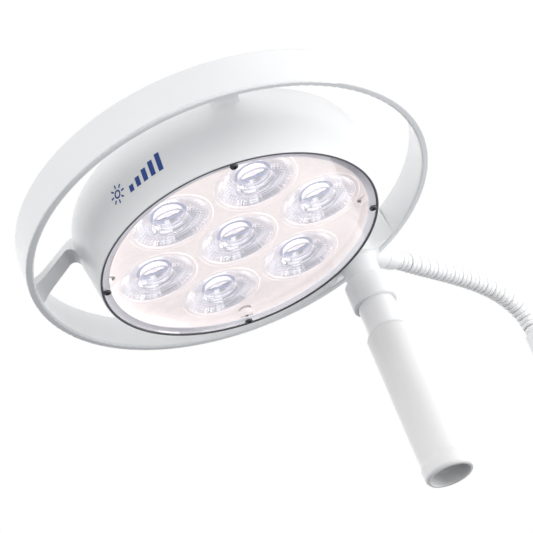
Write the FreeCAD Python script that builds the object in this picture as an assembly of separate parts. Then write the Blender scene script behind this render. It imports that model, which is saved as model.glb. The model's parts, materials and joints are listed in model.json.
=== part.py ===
"""Dental operating light: a round seven-lens lamp head with a grab rail and a pull-off
handle, carried by a flexible arm that stands in a socket on its 16 mm spigot.

Units are millimetres and +Z is up. The origin is the shoulder of the spigot, on its axis.
The lamp head is drawn in its own axes, with the origin at the middle of the window, +Z into
the lamp and +X towards the arm, and is then moved to its place.
"""
import FreeCAD, Part
import math
import os

V = FreeCAD.Vector
ORIGIN = V(0, 0, 0)
X, Y, Z = V(1, 0, 0), V(0, 1, 0), V(0, 0, 1)

# ---- driving dimensions: lamp head ----
window_r = 97.8            # clear pane
window_t = 3.0
window_gap = 0.4           # dark joint line between the pane and the housing rim
band_in_r = 92.7           # inner edge of the grey gasket band
lip_r = 99.2               # dark lip of the gasket in front of the housing's rim
lip_t = 0.3
ledge_in_r = 94.2          # housing ledge behind the gasket
ledge_t = 2.6
rim_r = 99.7               # housing at the window
shoulder_r = 107.7         # housing at its widest
shoulder_z = 48.3
shell_t = 2.8
parting_z = 54.0           # where the rear cover meets the housing
crown_z = 72.0             # top of the rear cover
pane_screw_pitch_r = 95.3
lens_pitch_r = 61.5
lens_r = 29.0
lens_front_z = 10.0
lens_back_z = 27.0
tray_r = 98.0              # glossy tray around the lenses
plate_z = 30.0             # face of the heat sink that carries the LED boards
plate_t = 3.0

# ---- driving dimensions: grab rail and hub ----
rail_r = 145.5             # outside of the rail at its top edge
rail_low_r = 144.5
rail_t = 5.4
rail_low_z = 18.8
rail_top_z = 46.0
spoke_azimuth = 130.0
hub_low_z = 13.5
hub_top_z = 50.0
arm_z = 30.5               # swivel axis above the window
socket_end_x = 165.0       # end of the conical arm socket

# ---- driving dimensions: handle ----
handle_x = 128.4           # where the handle's axis meets the window plane
handle_lean = 1.9          # degrees, towards the lamp
collar_r = 17.0
collar_len = 20.0
collar_drop = 2.9          # collar's upper end below the window plane
neck_r = 13.8
grip_r = 17.0
grip_start = 50.0          # distances along the handle's axis from the window plane
grip_end = 168.0
grip_bore_r = 14.9
core_end = 112.0

# ---- driving dimensions: flexible arm and stand end ----
arm_start_x = 194.2
arm_len = 160.0
arm_end_heading = 90.0     # degrees below level where the arm meets the lower ferrule
arm_heading_power = 4.6
sections = 15
head_ribs = 3              # ribs moulded on the head ferrule
rib_r = 7.75
groove_r = 6.3
joint_gap = 1.0            # between neighbouring sections
ball_r = 5.4
ball_clear = 0.05
bore_r = 3.6
least_turn = 0.4           # a section that bends less than this is straight
ferrule_len = 32.0
arm_end_z = 100.0          # upper end of the lower ferrule above the spigot shoulder
tube_r = 8.0
pin_r = 8.0
pin_len = 45.0

# ---- screws used throughout ----
m3_r = 1.5
m3_clear_r = 1.7

os.makedirs("parts", exist_ok=True)


# ---- helpers ----
def closed_wire(corners):
    """Closed wire in the XZ plane through (x, z, corner radius) corners."""
    edges = []
    joins = []
    count = len(corners)
    for i, (x, z, r) in enumerate(corners):
        here = V(x, 0, z)
        before = V(corners[i - 1][0], 0, corners[i - 1][1]) - here
        after = V(corners[(i + 1) % count][0], 0, corners[(i + 1) % count][1]) - here
        before.normalize()
        after.normalize()
        if r == 0:
            joins.append((here, None, here))
            continue
        half = before.getAngle(after) / 2
        reach = r / math.tan(half)
        inward = before + after
        inward.normalize()
        centre = here + inward * (r / math.sin(half))
        joins.append((here + before * reach, centre - inward * r, here + after * reach))
    for i, (start, middle, end) in enumerate(joins):
        if middle is not None:
            edges.append(Part.Arc(start, middle, end).toShape())
        follow = joins[(i + 1) % count][0]
        if end.distanceToPoint(follow) > 1e-6:
            edges.append(Part.LineSegment(end, follow).toShape())
    return Part.Wire(edges)


def turned(corners, angle=360):
    """Solid of revolution about +Z from an outline of (radius, z, corner radius)."""
    return Part.Face(closed_wire(corners)).revolve(ORIGIN, Z, angle)


def slab(corners, half_width):
    """Outline in the XZ plane, extruded evenly to both sides in Y."""
    face = Part.Face(closed_wire(corners))
    face.translate(V(0, -half_width, 0))
    return face.extrude(V(0, 2 * half_width, 0))


def plan(corners, low, high):
    """Outline of (x, y, corner radius) extruded between two heights."""
    wire = closed_wire(corners)
    wire.rotate(ORIGIN, X, -90)
    face = Part.Face(wire)
    face.translate(V(0, 0, low))
    solid = face.extrude(V(0, 0, high - low))
    return solid.mirror(ORIGIN, Y)


def ring(outer, inner, low, high):
    """Plain washer or tube about +Z."""
    return disc(outer, low, high).cut(disc(inner, low - 1, high + 1))


def disc(radius, low, high, x=0, y=0):
    return Part.makeCylinder(radius, high - low, V(x, y, low))


def around(shape, radius, angles):
    """Copies of a shape drawn on the Z axis, moved out to a pitch circle."""
    copies = []
    for angle in angles:
        copy = shape.copy()
        copy.translate(V(radius, 0, 0))
        copy.rotate(ORIGIN, Z, angle)
        copies.append(copy)
    return copies


def joined(shapes):
    """One clean solid from touching or overlapping shapes."""
    return shapes[0].multiFuse(shapes[1:]).removeSplitter()


def without(shape, tools):
    for tool in tools:
        shape = shape.cut(tool)
    return shape


def placed(shape, start, direction):
    """Move a shape drawn along +Z so that its axis starts at a point in a direction."""
    copy = shape.copy()
    copy.Placement = FreeCAD.Placement(start, FreeCAD.Rotation(Z, direction))
    return copy


# ---- route of the flexible arm, in the lamp head's axes ----
def heading(s):
    """Direction of the arm in degrees below level, at a length s from its head end."""
    return arm_end_heading * (s / arm_len) ** arm_heading_power


def route():
    """Joint points and headings at the ends of the sections, head end first."""
    steps = 40
    x, z = arm_start_x, arm_z
    ends = [(V(x, 0, z), heading(0))]
    length = arm_len / sections
    for section in range(sections):
        for step in range(steps):
            s = length * (section + (step + 0.5) / steps)
            angle = math.radians(heading(s))
            x += math.cos(angle) * length / steps
            z -= math.sin(angle) * length / steps
        ends.append((V(x, 0, z), heading(length * (section + 1))))
    return ends


arm_ends = route()
arm_foot = arm_ends[-1][0]
lamp_place = V(-arm_foot.x, 0, arm_end_z - arm_foot.z)
handle_dir = V(-math.sin(math.radians(handle_lean)), 0, -math.cos(math.radians(handle_lean)))
handle_top = V(handle_x, 0, 0)


def save(name, shapes, offset=ORIGIN):
    """Write one node, from one solid or a group of separate solids."""
    group = shapes if isinstance(shapes, list) else [shapes]
    moved = []
    for shape in group:
        for solid in shape.Solids:
            copy = solid.copy()
            copy.translate(offset)
            moved.append(copy)
    result = moved[0] if len(moved) == 1 else Part.makeCompound(moved)
    if not result.isValid():
        print("not valid:", name)
    print(f"{name:24s} solids {len(moved):3d}  volume {sum(s.Volume for s in moved) / 1000:8.2f} cm3")
    result.exportStep("parts/" + name + ".step")


def save_lamp(name, shapes):
    save(name, shapes, lamp_place)


# ---- lamp housing ----
def housing_outside():
    """Solid outer form of the housing, for trimming what is fitted against it."""
    return turned([(0, 0, 0), (rim_r, 0, 0), (shoulder_r, shoulder_z, 12),
                   (shoulder_r - 7, parting_z, 0), (0, parting_z, 0)])


lead_hole = Part.makeCylinder(4.0, 30, V(90, 0, arm_z), X)
rail_screw_z = 46.8
rail_seat_r = 99.5           # inside pads that the rail screws' heads bear on
rail_screw_end_r = 110.0
hub_screws_y = 11.0
hub_screw_z = 38.0
front_wall_z = window_gap + window_t + 1.2     # where the gasket's ledge starts
pane_screw_angles = [45, 135, 225, 315]
pane_head_r = 2.75
boss_top_z = lens_front_z - 0.2
cover_screw_r = 92.0
cover_screw_angles = [45, 135, 225, 315]
cover_post_z = 14.0


def radial_screw(azimuth, z, start, end, head_r, shank_r):
    """Screw along a radius: head on the inside, shank pointing outwards."""
    head = Part.makeCylinder(head_r, 2.4, V(start - 2.4, 0, z), X)
    shank = Part.makeCylinder(shank_r, end - start, V(start, 0, z), X)
    socket = Part.makeCylinder(head_r * 0.42, 1.4, V(start - 2.4, 0, z), X)
    screw = joined([head, shank]).cut(socket)
    screw.rotate(ORIGIN, Z, azimuth)
    return screw


def housing_shell():
    inner_top_r = shoulder_r - shell_t
    wall = turned([
        (window_r + 0.4, 0, 0.5), (rim_r, 0, 0.5), (shoulder_r, shoulder_z, 12),
        (shoulder_r - 7, parting_z, 0), (shoulder_r - 11, parting_z, 0),
        (shoulder_r - 11, parting_z - 3, 0), (inner_top_r, shoulder_z - 2, 6),
        (rim_r - shell_t + 1.2, front_wall_z + ledge_t, 0), (ledge_in_r, front_wall_z + ledge_t, 0),
        (ledge_in_r, front_wall_z, 0), (window_r + 0.4, front_wall_z, 0)])
    bosses = [post.common(housing_outside()) for post in
              around(disc(4.2, front_wall_z + ledge_t - 0.6, boss_top_z), pane_screw_pitch_r - 1,
                     pane_screw_angles)]
    cover_posts = around(disc(4.5, cover_post_z, parting_z - 3), cover_screw_r, cover_screw_angles)
    feet = around(Part.makeBox(14, 9, 5, V(-2, -4.5, cover_post_z)), cover_screw_r, cover_screw_angles)
    feet = [foot.common(housing_outside()) for foot in feet]
    pads = []
    for azimuth in (spoke_azimuth, -spoke_azimuth):
        pad = Part.makeBox(8, 9, 7.6, V(rail_seat_r, -4.5, rail_screw_z - 3.8))
        pad.rotate(ORIGIN, Z, azimuth)
        pads.append(pad.common(housing_outside()))
    body = joined([wall] + bosses + cover_posts + feet + pads)
    holes = around(disc(m3_r, 0, boss_top_z + 1), pane_screw_pitch_r, pane_screw_angles)
    holes += around(disc(m3_r, 30, parting_z), cover_screw_r, cover_screw_angles)
    holes.append(lead_hole)
    for azimuth in (spoke_azimuth, -spoke_azimuth):
        hole = Part.makeCylinder(2.0, 40, V(85, 0, rail_screw_z), X)
        hole.rotate(ORIGIN, Z, azimuth)
        holes.append(hole)
    for y in (-hub_screws_y, hub_screws_y):
        holes.append(Part.makeCylinder(2.0, 40, V(85, y, hub_screw_z), X))
    return without(body, holes)


def rear_cover():
    """Domed cover with a spigot rim that locates inside the housing."""
    edge_r = shoulder_r - 7
    dome = turned([
        (0, crown_z, 0), (52, crown_z - 1.5, 60), (90, parting_z + 11.5, 24),
        (edge_r, parting_z, 0), (edge_r - 4.4, parting_z, 0),
        (edge_r - 4.4, parting_z - 3, 0), (edge_r - 6.4, parting_z - 3, 0),
        (edge_r - 6.4, parting_z + 1.4, 0), (88, parting_z + 8.2, 22), (52, crown_z - 4.4, 57),
        (0, crown_z - 2.8, 0)])
    posts = around(disc(4.0, parting_z - 2.7, parting_z + 9), cover_screw_r, cover_screw_angles)
    keep = turned([(0, 0, 0), (edge_r - 0.5, 0, 0), (edge_r - 0.5, parting_z + 1, 0),
                   (90, parting_z + 10.5, 24), (52, crown_z - 2.5, 60), (0, crown_z - 1, 0)])
    posts = [post.common(keep) for post in posts]
    body = joined([dome] + posts)
    holes = around(disc(m3_clear_r, 40, 90), cover_screw_r, cover_screw_angles)
    holes += around(disc(3.3, parting_z + 5.2, 90), cover_screw_r, cover_screw_angles)
    return without(body, holes)


def cover_screws():
    head = disc(3.0, parting_z + 5.2, parting_z + 7.6)
    socket = disc(1.25, parting_z + 6.2, parting_z + 7.6)
    shank = disc(m3_r, 34, parting_z + 5.2)
    screw = joined([head, shank]).cut(socket)
    return around(screw, cover_screw_r, cover_screw_angles)


def window_pane():
    pane = turned([(0, window_gap, 0), (window_r, window_gap, 0.5),
                   (window_r, window_gap + window_t, 0), (0, window_gap + window_t, 0)])
    return without(pane, around(disc(m3_clear_r, -1, 9), pane_screw_pitch_r, pane_screw_angles))


def window_gasket():
    """Flat band behind the pane, with a lip that fills the joint and covers the rim's edge."""
    low = window_gap + window_t
    band = ring(window_r + window_gap, band_in_r, low, front_wall_z)
    riser = ring(window_r + window_gap, window_r, -lip_t, low)
    lip = ring(lip_r, window_r + window_gap, -lip_t, 0)
    seal = joined([band, riser, lip])
    holes = around(disc(m3_clear_r, -1, 9), pane_screw_pitch_r, pane_screw_angles)
    holes += around(disc(pane_head_r + 0.1, -1, low), pane_screw_pitch_r, pane_screw_angles)
    return without(seal, holes)


def window_screws():
    head = turned([(0, window_gap - 1.4, 0), (pane_head_r, window_gap - 1.4, 0.9),
                   (pane_head_r, window_gap, 0), (0, window_gap, 0)])
    socket = turned([(0, -4, 0), (1.15, -4, 0), (1.15, window_gap - 0.4, 0),
                     (0, window_gap - 0.4, 0)])
    shank = disc(m3_r, window_gap, boss_top_z - 0.3)
    return around(joined([head, shank]).cut(socket), pane_screw_pitch_r, pane_screw_angles)


# ---- optics and electronics ----
lens_places = [(0, 0)] + [(lens_pitch_r, angle) for angle in range(0, 360, 60)]
standoff_r = 84.0
standoff_angles = [30, 90, 150, 210, 270, 330]
driver_z = 52.0


def lens():
    """Collimator lens: front well with a convex floor, conical wall, LED cavity behind."""
    cup = turned([
        (0, lens_front_z + 8.0, 0), (6, lens_front_z + 5.8, 0), (12.4, lens_front_z + 6.2, 0),
        (13.4, lens_front_z, 0), (lens_r, lens_front_z, 0.4), (lens_r, lens_front_z + 2.0, 0.4),
        (26.5, lens_front_z + 3.2, 0), (20.5, lens_front_z + 11, 30), (11.5, lens_back_z, 0),
        (5.0, lens_back_z, 0), (4.4, lens_back_z - 7, 0), (0, lens_back_z - 5.6, 0)])
    legs = around(disc(1.2, lens_front_z + 8.0, plate_z), 16.5, [30, 150, 270])
    legs = [leg.cut(cup) for leg in legs]
    return joined([cup] + legs)


def lens_carrier():
    """Glossy tray with seven openings for the lenses' rims, and a cove that turns up to the window."""
    low = lens_front_z + 0.3
    tray = disc(tray_r, low, low + 1.8)
    cove_r = ledge_in_r - 0.1
    cove_z = front_wall_z + 0.15
    cove = turned([(cove_r - 3.2, low, 0), (cove_r - 2.8, low - 0.4, 0), (cove_r - 1.1, low - 1.7, 3),
                   (cove_r - 0.2, cove_z, 0), (cove_r, cove_z, 0), (cove_r, low + 1, 0),
                   (cove_r - 3.2, low + 1, 0)])
    cove = without(cove, around(disc(4.4, 0, low), pane_screw_pitch_r - 1, pane_screw_angles))
    sockets = [disc(3.6, low + 1.0, plate_z)]
    posts = around(sockets[0], standoff_r, standoff_angles)
    body = joined([tray, cove] + posts)
    holes = []
    for radius, angle in lens_places:
        holes += around(disc(lens_r + 0.15, 0, 40), radius, [angle])
    holes += around(disc(m3_r, low + 6, plate_z + 1), standoff_r, standoff_angles)
    holes += around(disc(5.2, 0, 60), cover_screw_r, cover_screw_angles)
    return without(body, holes)


def led_boards():
    board = disc(11.0, plate_z - 1.6, plate_z).cut(disc(1.4, 0, 60, 8.3, 0))
    legs = around(disc(1.5, 0, 60), 16.5, [30, 150, 270])
    board = without(board, legs)
    boards = []
    for radius, angle in lens_places:
        boards += around(board, radius, [angle])
    return boards


def led_emitters():
    base = Part.makeBox(5, 5, 0.9, V(-2.5, -2.5, plate_z - 2.5))
    dome = Part.makeSphere(1.9, V(0, 0, plate_z - 2.5))
    dome = dome.common(disc(3, plate_z - 5, plate_z - 2.5))
    emitter = joined([base, dome])
    emitters = []
    for radius, angle in lens_places:
        emitters += around(emitter, radius, [angle])
    return emitters


def heat_sink():
    plate = disc(93.0, plate_z, plate_z + plate_t)
    rim = disc(86.0, plate_z + 1, plate_z + 14)
    fins = []
    pitch = 9.5
    for i in range(-8, 9):
        fin = Part.makeBox(180, 1.8, 12, V(-90, i * pitch - 0.9, plate_z + plate_t - 0.1))
        fins.append(fin.common(rim))
    body = joined([plate] + fins)
    holes = around(disc(m3_clear_r, 0, 60), standoff_r, standoff_angles)
    holes += around(disc(3.4, plate_z + plate_t, 60), standoff_r, standoff_angles)
    holes += around(disc(6.0, 0, 60), cover_screw_r, cover_screw_angles)
    holes.append(Part.makeBox(40, 14, 40, V(64, -7, plate_z + plate_t)))
    holes.append(Part.makeBox(14, 8, 6, V(82, -4, plate_z - 1)))
    return without(body, holes)


def sink_screws():
    head = disc(2.8, plate_z + plate_t, plate_z + plate_t + 2.2)
    socket = disc(1.2, plate_z + plate_t + 1, plate_z + plate_t + 2.2)
    shank = disc(m3_r, plate_z - 9, plate_z + plate_t)
    return around(joined([head, shank]).cut(socket), standoff_r, standoff_angles)


fin_top_z = plate_z + plate_t + 11.9


def driver_posts():
    post = disc(2.5, fin_top_z, driver_z)
    tips = []
    for x, y in ((-32, -19), (-32, 19), (32, -19), (32, 19)):
        copy = post.copy()
        copy.translate(V(x, y, 0))
        tips.append(copy)
    return tips


def driver_board():
    return Part.makeBox(74, 48, 1.6, V(-37, -24, driver_z))


def driver_parts():
    """Choke, two capacitors, converter chips and the terminal block."""
    top = driver_z + 1.6
    choke = Part.makeTorus(6.0, 2.4, V(-20, 8, top + 2.4))
    caps = [disc(4.0, top, top + 10, -22, -12), disc(4.0, top, top + 10, -10, -12)]
    chips = [Part.makeBox(8, 8, 1.2, V(-2, 6, top)), Part.makeBox(5, 6, 1.2, V(12, 8, top))]
    block = Part.makeBox(8, 14, 8, V(27, -7, top))
    block = block.cut(Part.makeCylinder(1.6, 6, V(30, 0, top + 4), X))
    return [choke, block] + caps + chips


def lead_path(points, bend):
    """Straight runs joined by tangent arcs, for a round lead."""
    edges = []
    last = points[0]
    for i in range(1, len(points) - 1):
        before = points[i - 1] - points[i]
        after = points[i + 1] - points[i]
        before.normalize()
        after.normalize()
        half = before.getAngle(after) / 2
        reach = bend / math.tan(half)
        inward = before + after
        inward.normalize()
        centre = points[i] + inward * (bend / math.sin(half))
        start = points[i] + before * reach
        end = points[i] + after * reach
        edges.append(Part.LineSegment(last, start).toShape())
        edges.append(Part.Arc(start, centre - inward * bend, end).toShape())
        last = end
    edges.append(Part.LineSegment(last, points[-1]).toShape())
    return Part.Wire(edges)


def head_lead():
    """Supply lead from the swivel shaft to the terminal block."""
    points = [V(112, 0, arm_z), V(98, 0, arm_z), V(75, 0, plate_z + plate_t + 6),
              V(52, 0, driver_z + 5.6), V(35, 0, driver_z + 5.6)]
    path = lead_path(points, 10)
    face = Part.Face(Part.Wire(Part.Circle(points[0], X, 1.5).toShape()))
    return Part.Wire(path).makePipeShell([face.OuterWire], True, True)


# ---- grab rail and hub ----
def rail_band():
    return turned([
        (rail_low_r, rail_low_z, 1.5), (rail_r, rail_top_z, 1.5),
        (rail_r - rail_t, rail_top_z, 1.5), (rail_low_r - rail_t, rail_low_z, 1.5)])


def spoke():
    """Thin strut drawn along +X, sloping from the housing's shoulder down to the rail."""
    side = slab([(100, 52, 0), (108.5, 50.9, 14), (143, 24.6, 0), (143, 18.8, 0),
                 (139, 22.6, 3), (110.4, 44.9, 4.5), (104.5, 38.5, 0), (100, 38, 0)], 30)
    top = plan([(100, -10, 0), (108, -8.8, 8), (132, -9.6, 12), (140, -13, 0),
                (140, 13, 0), (132, 9.6, 12), (108, 8.8, 8), (100, 10, 0)], 0, 60)
    return side.common(top)


def grab_rail():
    band = rail_band()
    bound = disc(rail_low_r - 1, 0, 60)
    pieces = [band]
    for azimuth in (spoke_azimuth, -spoke_azimuth):
        arm = spoke().common(bound).cut(housing_outside())
        arm.rotate(ORIGIN, Z, azimuth)
        pieces.append(arm)
    body = joined(pieces)
    holes = [Part.makeCylinder(11.0, 30, V(125, 0, arm_z), X)]
    for y in (-hub_screws_y, hub_screws_y):
        holes.append(Part.makeCylinder(2.0, 40, V(125, y, hub_screw_z), X))
    for azimuth in (spoke_azimuth, -spoke_azimuth):
        hole = Part.makeCylinder(1.5, 20, V(rail_screw_end_r - 20, 0, rail_screw_z), X)
        hole.rotate(ORIGIN, Z, azimuth)
        holes.append(hole)
    return without(body, holes)


def rail_screws():
    return [radial_screw(a, rail_screw_z, rail_seat_r, rail_screw_end_r, 2.6, 1.5)
            for a in (spoke_azimuth, -spoke_azimuth)]


button_x = 126.0
button_r = 7.0
button_floor_z = 41.5
pocket_end_x = 122.0
shaft_r = 6.0
bush_r = 8.0


def hub_body():
    """Block between the housing and the rail, with the boss that the handle hangs from."""
    flank = [(100, 16, 0), (117, 17, 30), (127, 20, 14), (135.6, 30, 20), (133.8, 50, 0), (145, 50, 0)]
    block = plan([(x, -y, r) for x, y, r in flank] + flank[::-1], hub_low_z, hub_top_z)
    lid = turned([(0, hub_low_z, 0), (122, hub_low_z, 24), (rail_low_r - rail_t + 0.3, rail_low_z + 0.8, 0),
                  (rail_r - rail_t - 2, hub_top_z, 8), (0, hub_top_z, 0)])
    block = block.common(lid).cut(rail_band()).cut(housing_outside())
    boss = placed(turned([(0, collar_drop, 0), (collar_r, collar_drop, 0.6),
                          (collar_r + 1.5, -24, 0), (0, -24, 0)]), handle_top, handle_dir)
    boss = boss.common(disc(rail_low_r, -5, 26)).cut(rail_band()).cut(housing_outside())
    body = joined([block, boss])
    pocket = Part.makeCylinder(10.2, pocket_end_x - 95, V(95, 0, arm_z), X)
    tongue = Part.makeBox(5, 2.4, 5, V(pocket_end_x - 8, -1.2, arm_z + 6.7))
    pocket = pocket.cut(tongue)
    holes = [pocket, Part.makeCylinder(bush_r, 30, V(pocket_end_x, 0, arm_z), X)]
    holes.append(disc(button_r + 0.3, button_floor_z, 60, button_x, 0))
    holes.append(disc(1.6, arm_z, 60, button_x - 8.2, 0))
    holes.append(placed(disc(8.0, -14, 20), handle_top, handle_dir))
    for y in (-hub_screws_y, hub_screws_y):
        holes.append(Part.makeCylinder(2.0, 40, V(100, y, hub_screw_z), X))
    return without(body, holes + [arm_socket()])


def arm_socket():
    """Cone outside the rail that the arm's ferrule turns in."""
    length = socket_end_x - 140
    cone = turned([(0, 0, 0), (12.9, 0, 0), (12.9, 7.5, 3), (10.6, length - 4, 16),
                   (10.0, length, 0.8), (0, length, 0)])
    cone = placed(cone, V(140, 0, arm_z), X)
    outer = without(cone, [disc(rail_r, rail_low_z - 4, rail_top_z + 4).cut(
        Part.makeCylinder(11.0, 20, V(135, 0, arm_z), X))])
    tongue = rail_band().common(Part.makeCylinder(11.0, 20, V(130, 0, arm_z), X))
    lug = turned([(0, 0, 0), (4.6, 0, 0), (4.6, 7, 2), (0, 9, 0)])
    lugs = []
    for y in (-hub_screws_y, hub_screws_y):
        piece = placed(lug, V(141.5, y, hub_screw_z), X)
        lugs.append(piece.cut(disc(rail_r, rail_low_z - 4, rail_top_z + 4)))
    body = joined([outer, tongue] + lugs)
    holes = [Part.makeCylinder(bush_r, 40, V(130, 0, arm_z), X)]
    for y in (-hub_screws_y, hub_screws_y):
        holes.append(Part.makeCylinder(1.7, 8, V(139, y, hub_screw_z), X))
    return without(body, holes)


def hub_screws():
    screws = []
    for y in (-hub_screws_y, hub_screws_y):
        screw = radial_screw(0, hub_screw_z, 101.6, 146.5, 3.2, 1.7)
        screw.translate(V(0, y, 0))
        screws.append(screw)
    return screws


def swivel_bushes():
    bush = ring(bush_r, shaft_r + 0.05, 0, 12)
    return [placed(bush, V(x, 0, arm_z), X) for x in (pocket_end_x + 0.5, socket_end_x - 13)]


# ---- arm's head end: turns in the hub ----
def head_ferrule():
    """Smooth ferrule with a socket for the first section's ball, and the arm's first ribs."""
    length = arm_start_x - socket_end_x - 0.3
    pitch = arm_len / sections / 2
    end = length - head_ribs * pitch
    barrel = turned([(0, 0, 0), (9.6, 0, 0.8), (9.0, end - 0.6, 1.5), (groove_r + 0.3, end + 0.6, 0),
                     (groove_r, length - joint_gap / 2, 0), (0, length - joint_gap / 2, 0)])
    barrel = placed(barrel, V(socket_end_x + 0.3, 0, arm_z), X)
    ribs = [placed(rib_ring(), V(arm_start_x - pitch * (k + 0.5), 0, arm_z), X) for k in range(head_ribs)]
    body = joined([barrel] + ribs)
    seat = Part.makeSphere(ball_r + ball_clear, V(arm_start_x, 0, arm_z))
    bore = Part.makeCylinder(bore_r, 80, V(140, 0, arm_z), X)
    shank = Part.makeCylinder(shaft_r, 8, V(socket_end_x - 1, 0, arm_z), X)
    return without(body, [seat, bore, shank])


def swivel_shaft():
    """Hollow shaft pressed into the ferrule, with a groove for its retaining ring."""
    tube = Part.makeCylinder(shaft_r, socket_end_x + 7 - 113, V(113, 0, arm_z), X)
    bore = Part.makeCylinder(bore_r, 80, V(100, 0, arm_z), X)
    groove = placed(ring(shaft_r + 2, shaft_r - 0.8, 0, 1.2), V(pocket_end_x - 1.5, 0, arm_z), X)
    pin_hole = Part.makeCylinder(1.25, 3, V(116.5, 0, arm_z - 3), -Z)
    return without(tube, [bore, groove, pin_hole])


def retaining_ring():
    clip = ring(shaft_r + 2.4, shaft_r - 0.8, 0, 1.2)
    gap = Part.makeBox(9, 3, 2, V(0, -1.5, -0.4))
    return placed(clip.cut(gap), V(pocket_end_x - 1.5, 0, arm_z), X)


def stop_pin():
    return Part.makeCylinder(1.25, 5.4, V(116.5, 0, arm_z - 4.0), -Z)


# ---- flexible arm ----
def rib_ring():
    """One barrel-shaped rib of the arm, drawn about +Z and centred on the origin."""
    half = 2.15
    return turned([(bore_r + 1, -half, 0), (groove_r + 0.6, -half, 0.3), (rib_r + 0.35, 0, 3.4),
                   (groove_r + 0.6, half, 0.3), (bore_r + 1, half, 0)])


def direction(angle):
    """Unit vector of the arm at a heading in degrees below level."""
    a = math.radians(angle)
    return V(math.cos(a), 0, -math.sin(a))


def arc_tube(start, angle, turn, length, radius):
    """Round bar that bends evenly by turn degrees over its length, starting at a point."""
    if turn == 0:
        return Part.makeCylinder(radius, length, start, direction(angle))
    bend_r = length / math.radians(turn)
    centre = start + V(-math.sin(math.radians(angle)), 0, -math.cos(math.radians(angle))) * bend_r
    face = Part.Face(Part.Wire(Part.Circle(start, direction(angle), radius).toShape()))
    return face.revolve(centre, Y, turn)


def on_arc(start, angle, turn, length, share):
    """Point and direction at a share of the way along such a bar."""
    point = start
    steps = 20
    for i in range(steps):
        middle = angle + turn * share * (i + 0.5) / steps
        point = point + direction(middle) * (length * share / steps)
    return point, direction(angle + turn * share)


def end_ball(centre, way):
    """Hollow ball on the foot side of a joint that seats in the piece on its head side."""
    ball = Part.makeSphere(ball_r, centre)
    keep = placed(disc(ball_r + 1, -3.0, 5.0), centre, way)
    return ball.common(keep)


def arm_section(index):
    """Ribbed section between two joints: a socket at its foot end, a ball at its head end."""
    start, angle = arm_ends[index]
    finish, next_angle = arm_ends[index + 1]
    length = arm_len / sections
    turn = next_angle - angle
    if turn < least_turn:
        angle = (angle + next_angle) / 2
        next_angle = angle
        turn = 0
    core = arc_tube(start, angle, turn, length, groove_r)
    pieces = [core]
    for share in (0.25, 0.75):
        point, way = on_arc(start, angle, turn, length, share)
        pieces.append(placed(rib_ring(), point, way))
    body = joined(pieces)
    cap = disc(12, 0, 6)
    head_side = placed(cap, start + direction(angle) * (joint_gap / 2), direction(angle) * -1)
    foot_side = placed(cap, finish - direction(next_angle) * (joint_gap / 2), direction(next_angle))
    body = without(body, [head_side, foot_side])
    body = body.fuse(end_ball(start, direction(angle)))
    seat = Part.makeSphere(ball_r + ball_clear, finish)
    bore = arc_tube(start, angle, turn, length, bore_r)
    inlet = Part.makeCylinder(bore_r, 8, start, direction(angle) * -1)
    return without(body, [seat, bore, inlet])


# ---- stand end ----
def lower_ferrule():
    """Ferrule that takes the last section's socket; drawn in the row's own axes."""
    top = arm_end_z
    low = top - ferrule_len
    barrel = turned([(0, low, 0), (10.2, low, 1.0), (9.4, top - 6.5, 1.5), (groove_r + 0.3, top - 4.6, 0),
                     (groove_r, top - joint_gap / 2, 0), (0, top - joint_gap / 2, 0)])
    rib = rib_ring()
    rib.translate(V(0, 0, top - arm_len / sections / 4))
    ball = Part.makeSphere(ball_r, V(0, 0, top)).common(disc(9, top - 5, top + 3))
    body = joined([barrel, rib, ball])
    bore = disc(bore_r, low - 1, top + 10)
    seat = disc(tube_r, low - 1, low + 16)
    grub_holes = [Part.makeCylinder(1.6, 12, V(0, 0, low + 6), V(0, side, 0)) for side in (-1, 1)]
    return without(body, [bore, seat] + grub_holes)


def arm_tube():
    low, high = 4.0, arm_end_z - ferrule_len + 16
    return ring(tube_r, tube_r - 2.0, low, high)


def ferrule_screws():
    low = arm_end_z - ferrule_len + 6
    screws = []
    for side in (-1, 1):
        grub = Part.makeCylinder(1.6, 1.9, V(0, side * tube_r, low), V(0, side, 0))
        hexagon = Part.makeCylinder(0.8, 1.2, V(0, side * (tube_r + 0.9), low), V(0, side, 0))
        screws.append(grub.cut(hexagon))
    return screws


def mount_spigot():
    """Plug pressed in the tube, shoulder flange, and the 16 mm pin below it."""
    plug = turned([(0, -pin_len, 0), (pin_r, -pin_len, 1.2), (pin_r, 0, 0), (13.0, 0, 0.8),
                   (13.0, 4.0, 0.8), (tube_r - 2.0, 4.0, 0), (tube_r - 2.0, 22.0, 0.8), (0, 22.0, 0)])
    return plug.cut(disc(bore_r, -pin_len - 1, 30))


def spigot_grommet():
    """Rubber sleeve at the lead's outlet in the end of the pin."""
    return ring(bore_r, 2.2, -pin_len, -pin_len + 8)


# ---- handle ----
def along_handle(corners):
    """Turned piece about the handle's axis; heights are distances from the window plane."""
    return placed(turned(corners), handle_top, handle_dir)


def handle_collar():
    top = collar_drop
    low = collar_drop + collar_len
    return along_handle([
        (8.2, top, 0), (collar_r, top, 0.8), (collar_r, low, 1.6), (neck_r + 0.2, low, 0),
        (neck_r + 0.2, low - 4.5, 0), (8.2, low - 4.5, 0)])


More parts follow.
